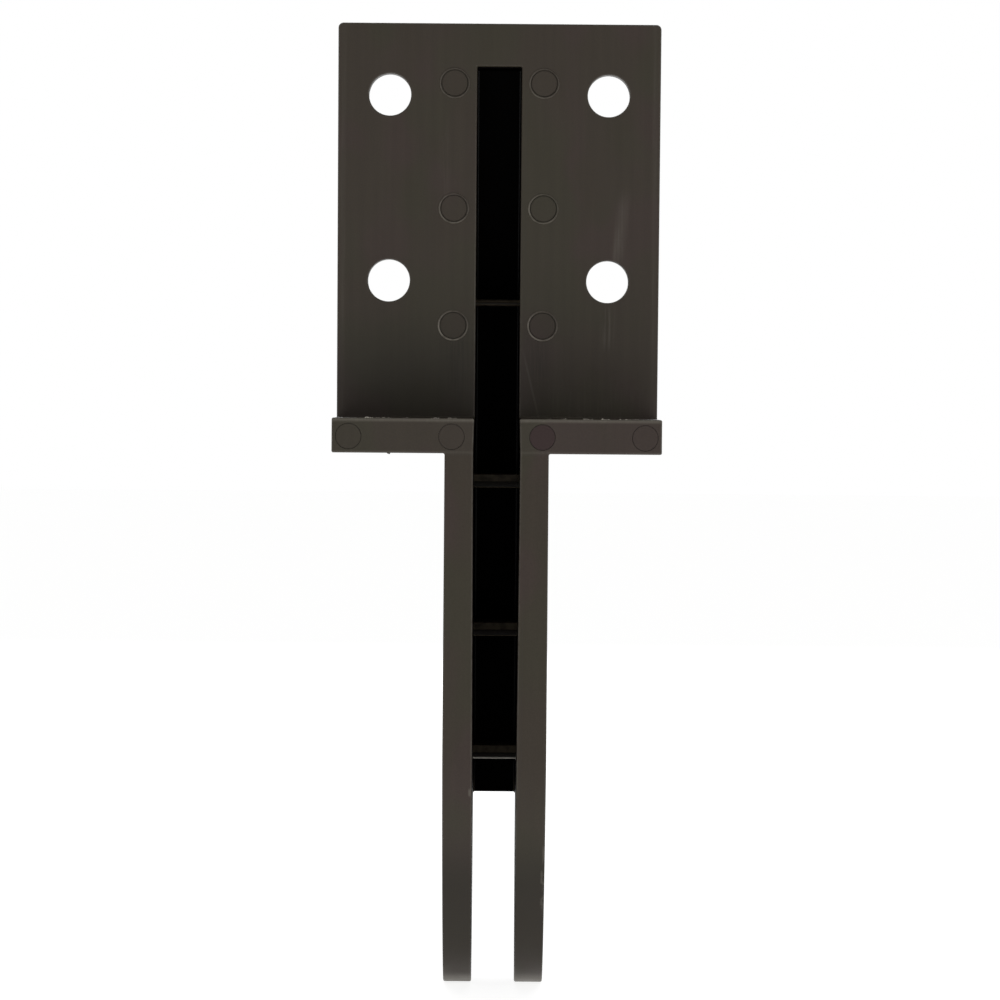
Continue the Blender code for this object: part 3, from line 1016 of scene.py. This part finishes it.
# The ribs' plastic is darkened to about a quarter as painted shade, and carries the painted highlights.
rib_shade_and_highlight = moulded_plastic(
    "rib_shade_and_highlight",
    tone=0.27,
    streaks=0.03,
    gloss=0.12,
    wear_and_highlight_colour=RIB_PAINTED_HIGHLIGHT,
    marks=(lowest_edge_highlight,),
)
ribs = grow(
    rib_seed,
    ladder,
    {
        "Ribs": len(rib_heights),
        "Top": rib_heights[0],
        "First Bay": first_bay,
        "Bay Ratio": (rib_heights[1] - rib_heights[2]) / first_bay,
        "Half Width": channel_half(0.0) + RIB_REACH,
        "Widening": (channel_half(0.0) - channel_half(web_foot)) / -web_foot,
        "Top Thickness": top_rib_half / rib_half,
        "Plastic": rib_shade_and_highlight,
    },
)
ribs.name = "cross_ribs"
smooth(ribs)
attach(ribs, "root")
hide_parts("cross_rib_1", "cross_rib_2", "cross_rib_3", "cross_rib_4")


# Pin marks
# The discs that the ejector pins left in their pockets, a hair below the surface, each with a dark
# witness line round it. On the plate the pins sat a little deep, so a thin rim stands up round each,
# coloured with a painted highlight that is brightest at its lower left and on the lowest pair.

DISC_CLEARANCE = 0.30 * MM  # on the plate
CLOSE_CLEARANCE = 0.13 * MM  # on the shelf
DISC_TAPER = 0.12 * MM
CLOSE_TAPER = 0.05 * MM
DISC_ROOT = 0.25 * MM  # below the floor of its pocket
DISC_RECESS = 0.05 * MM
RIM_THICKNESS = 0.24 * MM
# Painted highlight on the rims: brighter at the lower left, where the light falls on them.
RIM_HIGHLIGHT_SLANT = 0.35  # how much paler each rim is at its lower left than at its upper right
RIM_MIDDLE = 0.7  # how pale it is in between
RIM_SIDES = 8
RIM_PAINTED_HIGHLIGHT = (0.200, 0.180, 0.148)
PIN_TINT = (0.0305, 0.0170, 0.0158)
PLATE_RIM_HIGHLIGHTS = (1.0, 1.0, 0.40, 0.48, 0.26, 0.26)  # how pale each rim is, from the lowest pair up
PLATE_TONES = (0.15, 0.25, 0.0, 0.0, 0.1, 0.0)
SHELF_RIM_HIGHLIGHTS = (0.0, 0.0, 0.0, 0.0)
SHELF_TONES = (0.1, 0.1, 1.0, 0.1)

stamp, given, result = new_group(
    "pin_stamp",
    "GeometryNodeTree",
    {
        "Geometry": "Geometry",
        "Sides": PIN_SIDES,
        "Disc Radius": 0.0,
        "Disc Taper": DISC_TAPER,
        "Disc Height": 0.0,
        "Rim Radius": 0.0,
        "Rim Thickness": RIM_THICKNESS,
        "Rim Height": 0.0,
        "Rim Highlight Slant": RIM_HIGHLIGHT_SLANT,
        "Plastic": "Material",
    },
    {"Geometry": "Geometry"},
)


def circle(tree, name, sides, radius):
    """A circle, as a curve."""
    values = {"Resolution": sides, "Radius": radius}
    return add_node(tree, "GeometryNodeCurvePrimitiveCircle", name, values).outputs["Curve"]


def store_value(tree, name, geometry, value):
    """The geometry with a named value on its points."""
    values = {"Geometry": geometry, "Name": name, "Value": value}
    return add_node(tree, "GeometryNodeStoreNamedAttribute", name, values).outputs["Geometry"]


def named_value(tree, name):
    """The value that each point has under a name."""
    return add_node(tree, "GeometryNodeInputNamedAttribute", name, {"Name": name}).outputs["Attribute"]


disc_top = calculate(stamp, "disc_top", "SUBTRACT", given["Disc Radius"], given["Disc Taper"])
disc = add_node(
    stamp,
    "GeometryNodeMeshCone",
    "disc",
    {
        "Vertices": given["Sides"],
        "Side Segments": 1,
        "Fill Segments": 1,
        "Radius Top": disc_top,
        "Radius Bottom": given["Disc Radius"],
        "Depth": given["Disc Height"],
    },
)
rim_path = circle(stamp, "rim_path", given["Sides"], given["Rim Radius"])
rim_section = circle(stamp, "rim_section", RIM_SIDES, given["Rim Thickness"])
rim = add_node(
    stamp,
    "GeometryNodeCurveToMesh",
    "rim",
    {"Curve": rim_path, "Profile Curve": rim_section},
).outputs["Mesh"]
lift = add_node(stamp, "ShaderNodeCombineXYZ", "lift", {"Z": given["Rim Height"]}).outputs["Vector"]
lifted = add_node(stamp, "GeometryNodeTransform", "lifted", {"Geometry": rim, "Translation": lift})
position = add_node(stamp, "GeometryNodeInputPosition", "position").outputs["Position"]
ring_place = axes_of(stamp, "ring_place", position)
corner_way = calculate(stamp, "corner_way", "ADD", ring_place["X"], ring_place["Y"])
corner_way = calculate(stamp, "corner_share", "DIVIDE", corner_way, given["Rim Radius"])
corner_way = calculate(stamp, "unevenness", "MULTIPLY", corner_way, given["Rim Highlight Slant"])
paleness = calculate(stamp, "paleness", "SUBTRACT", RIM_MIDDLE, corner_way)
ring = store_value(stamp, "ring", lifted.outputs["Geometry"], paleness)
both = add_node(stamp, "GeometryNodeJoinGeometry", "both", {"Geometry": ring})
feed(stamp, both.inputs["Geometry"], disc.outputs["Mesh"])
facing_front = (math.radians(90.0), 0.0, 0.0)
set_pins = add_node(
    stamp,
    "GeometryNodeInstanceOnPoints",
    "setting",
    {"Points": given["Geometry"], "Instance": both.outputs["Geometry"], "Rotation": facing_front},
)
real_pins = make_real(stamp, set_pins.outputs["Instances"])
# Painted highlight on each rim.
wear_and_highlight = calculate(stamp, "rim_highlight", "MULTIPLY", named_value(stamp, "ring"), named_value(stamp, "rim"))
coat(stamp, store_value(stamp, "edge", real_pins, wear_and_highlight), given["Plastic"], result)


def seed_mesh(name, places, values, edges=()):
    """Loose points or edges with named values of their own, for a tree to grow on."""
    mesh = bpy.data.meshes.new(name)
    mesh.from_pydata(places, edges, [])
    for label, numbers in values.items():
        mesh.attributes.new(label, "FLOAT", "POINT").data.foreach_set("value", numbers)
    return put_in_scene(name, mesh)


# The pin marks' edge colour is the rims' painted highlight.
pin_plastic = moulded_plastic("pin_plastic", streaks=0.03, tint=PIN_TINT, wear_and_highlight_colour=RIM_PAINTED_HIGHLIGHT)
disc_height = PIN_POCKET_DEPTH + DISC_ROOT - DISC_RECESS
floor_to_face = PIN_POCKET_DEPTH + DISC_ROOT
plate_places = [(x, floor_to_face, z) for x, z in plate_pins]
plate_pin_marks = grow(
    seed_mesh("plate_pin_marks", plate_places, {"rim": PLATE_RIM_HIGHLIGHTS, "tone": PLATE_TONES}),
    stamp,
    {
        "Disc Radius": PLATE_PIN_RADIUS - DISC_CLEARANCE,
        "Disc Height": disc_height,
        "Rim Radius": PLATE_PIN_RADIUS + RIM_THICKNESS / 2,
        "Rim Thickness": RIM_THICKNESS,
        "Rim Height": floor_to_face,
        "Plastic": pin_plastic,
    },
)
shelf_places = [(x, shelf_front + floor_to_face, z) for x, z in shelf_pins]
shelf_pin_marks = grow(
    seed_mesh("shelf_pin_marks", shelf_places, {"rim": SHELF_RIM_HIGHLIGHTS, "tone": SHELF_TONES}),
    stamp,
    {
        "Disc Radius": SHELF_PIN_RADIUS - CLOSE_CLEARANCE,
        "Disc Taper": CLOSE_TAPER,
        "Disc Height": disc_height,
        "Rim Radius": SHELF_PIN_RADIUS / 2,
        "Rim Thickness": RIM_THICKNESS,
        "Rim Height": DISC_ROOT / 2,
        "Plastic": pin_plastic,
    },
)
for pin_marks in (plate_pin_marks, shelf_pin_marks):
    smooth(pin_marks)
    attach(pin_marks, "root")


# Mould flash
# Plastic squeezed out along the parting line on the shelf's top front edge: thin ragged slivers,
# torn off in places, paler than the body as whitened plastic and with a painted highlight. One
# small nib hangs under the left half.

FLASH_STEP = 0.22 * MM
FLASH_THICKNESS = 0.20 * MM
FLASH_WAVER = 0.16 * MM
FLASH_INSET = 0.45 * MM  # behind the shelf's front
FLASH_LIFT = 0.02 * MM  # above its top
# Each run's paleness sets how much of the whitened colour and painted highlight it takes.
FLASH_RUNS = (  # from, to, thickness, paleness, all across the shelf in millimetres
    (-36.0, -33.4, 1.0, 1.0),
    (-33.4, -28.4, 0.5, 0.45),
    (-25.4, -24.0, 0.6, 0.4),
    (-17.6, -15.6, 0.9, 0.9),
    (-13.2, -10.8, 0.7, 0.5),
    (12.8, 14.6, 0.8, 0.6),
    (17.1, 18.7, 0.7, 0.4),
    (23.3, 25.7, 1.0, 1.0),
    (28.2, 30.3, 0.9, 0.95),
    (33.0, 35.1, 0.9, 0.9),
    (35.4, 39.4, 0.55, 0.45),
)
# Whitened thin plastic, with a painted highlight.
FLASH_WHITE_AND_HIGHLIGHT = (0.50, 0.46, 0.40)
FLASH_SEED = 7
FLASH_SIDES = 5
THINNEST = 0.15  # of its run's thickness
WAVER_FROM = (0.0, -0.25, -1.0)
WAVER_TO = (0.0, 1.0, 1.0)
NIB_RUNS = ((-29.5, -28.7, 1.0, 0.0),)
NIB_THICKNESS = 0.32 * MM
NIB_WAVER = 0.05 * MM
NIB_INSET = 0.5 * MM
NIB_DROP = 0.05 * MM  # below the shelf's underside

sliver, given, result = new_group(
    "flash_sliver",
    "GeometryNodeTree",
    {
        "Geometry": "Geometry",
        "Step": FLASH_STEP,
        "Thickness": FLASH_THICKNESS,
        "Waver": 0.0,
        "Seed": FLASH_SEED,
        "Plastic": "Material",
    },
    {"Geometry": "Geometry"},
)
line = add_node(sliver, "GeometryNodeMeshToCurve", "line", {"Mesh": given["Geometry"]}).outputs["Curve"]
steps = add_node(
    sliver,
    "GeometryNodeResampleCurve",
    "steps",
    {"Curve": line, "Length": given["Step"]},
    mode="LENGTH",
).outputs["Curve"]
jitter = add_node(
    sliver,
    "FunctionNodeRandomValue",
    "jitter",
    {0: WAVER_FROM, 1: WAVER_TO, "Seed": given["Seed"]},
    data_type="FLOAT_VECTOR",
)
shift = add_node(
    sliver,
    "ShaderNodeVectorMath",
    "shift",
    {0: jitter.outputs[0], "Scale": given["Waver"]},
    operation="SCALE",
).outputs["Vector"]
wavy = add_node(sliver, "GeometryNodeSetPosition", "wavy", {"Geometry": steps, "Offset": shift})
ragged_seed = calculate(sliver, "ragged_seed", "ADD", given["Seed"], 1.0)
ragged = add_node(
    sliver,
    "FunctionNodeRandomValue",
    "ragged",
    {"Min": THINNEST, "Max": 1.0, "Seed": ragged_seed},
).outputs[1]
girth = calculate(sliver, "girth", "MULTIPLY", ragged, named_value(sliver, "thick"))
sized = add_node(
    sliver,
    "GeometryNodeSetCurveRadius",
    "sized",
    {"Curve": wavy.outputs["Geometry"], "Radius": girth},
).outputs["Curve"]
section = circle(sliver, "section", FLASH_SIDES, given["Thickness"])
solid = add_node(
    sliver,
    "GeometryNodeCurveToMesh",
    "solid",
    {"Curve": sized, "Profile Curve": section, "Scale": girth, "Fill Caps": True},
).outputs["Mesh"]
coat(sliver, make_real(sliver, solid), given["Plastic"], result)


def seed_runs(name, runs, back, up):
    """Straight runs across the shelf, with each one's thickness and paleness on its ends."""
    places = []
    values = {"thick": [], "tone": []}
    for start, end, thickness, paleness in runs:
        places += [(start * MM, back, up), (end * MM, back, up)]
        values["thick"] += [thickness, thickness]
        values["tone"] += [paleness, paleness]
    edges = [(2 * index, 2 * index + 1) for index in range(len(runs))]
    return seed_mesh(name, places, values, edges)


flash_plastic = moulded_plastic("flash_plastic", streaks=0.0, tint=FLASH_WHITE_AND_HIGHLIGHT)
flash = grow(
    seed_runs("shelf_flash", FLASH_RUNS, shelf_front + FLASH_INSET, shelf_top + FLASH_LIFT),
    sliver,
    {"Waver": FLASH_WAVER, "Plastic": flash_plastic},
)
nib = grow(
    seed_runs("shelf_nib", NIB_RUNS, shelf_front + NIB_INSET, -NIB_DROP),
    sliver,
    {"Waver": NIB_WAVER, "Thickness": NIB_THICKNESS, "Plastic": flash_plastic},
)
for scrap in (flash, nib):
    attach(scrap, "root")
